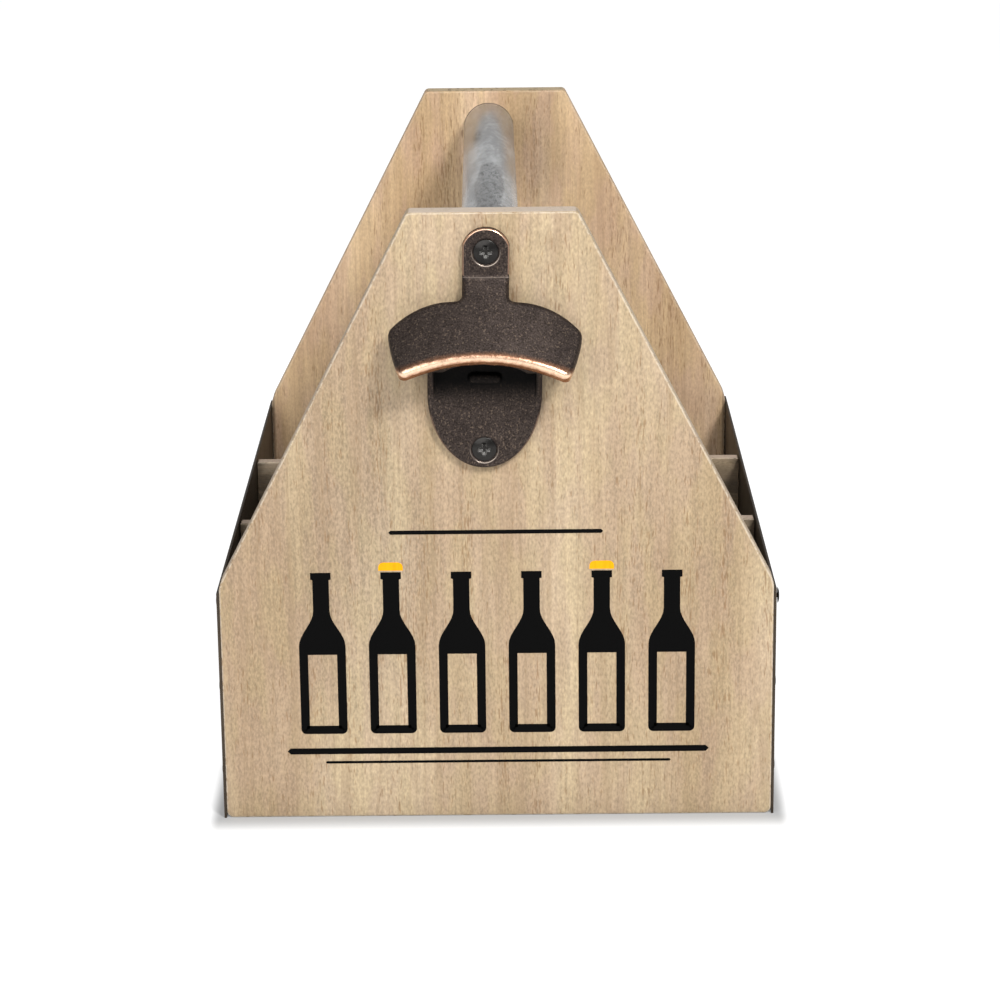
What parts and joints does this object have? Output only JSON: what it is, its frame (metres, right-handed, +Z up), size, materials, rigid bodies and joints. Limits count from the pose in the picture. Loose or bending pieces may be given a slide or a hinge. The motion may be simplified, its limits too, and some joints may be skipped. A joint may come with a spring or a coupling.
{
  "type": "bottle caddy",
  "caption": "Wooden bottle caddy with house-shaped end boards, steel side sheets, a tube handle, a lift-out divider insert and a cast bottle opener on the front.",
  "frame": {"origin": "middle of the base board's underside, on the surface that the caddy stands on", "axes": "+X to the right seen from the front, +Y from the front board to the rear board along the handle, +Z up"},
  "size_m": [0.1933, 0.2813, 0.214],
  "materials": {
    "panel_wood": "sanded light wood, thin clear wash",
    "base_wood": "plain board",
    "divider_wood": "thin plain board, sawn top edges",
    "dowel_wood": "turned beech",
    "side_steel": "dark brown patinated sheet steel",
    "nail_steel": "blackened steel",
    "handle_zinc": "galvanised tube with dull spangle",
    "opener_bronze": "cast metal, antique bronze with copper-bright wear",
    "screw_black": "black oxide",
    "print_black": "matt black ink, printed on the front board",
    "print_yellow": "matt yellow ink, printed on the front board"
  },
  "bodies": {
    "caddy": {"front_panel": "panel_wood", "rear_panel": "panel_wood", "base_board": "base_wood", "front_base_dowels": "dowel_wood", "rear_base_dowels": "dowel_wood", "left_side_sheet": "side_steel", "right_side_sheet": "side_steel", "left_panel_nails": "nail_steel", "right_panel_nails": "nail_steel", "left_base_nails": "nail_steel", "right_base_nails": "nail_steel", "handle_tube": "handle_zinc", "front_handle_plug": "dowel_wood", "rear_handle_plug": "dowel_wood", "rear_handle_screw": "screw_black", "opener_casting": "opener_bronze", "upper_opener_screw": "screw_black", "lower_opener_screw": "screw_black"},
    "divider_insert": {"front_cross_divider": "divider_wood", "rear_cross_divider": "divider_wood", "centre_divider": "divider_wood"}
  },
  "joints": [
    {"name": "insert_lift", "type": "slide", "parent": "caddy", "child": "divider_insert", "axis": [0, 0, 1], "range_m": [0, 0.104]}
  ]
}
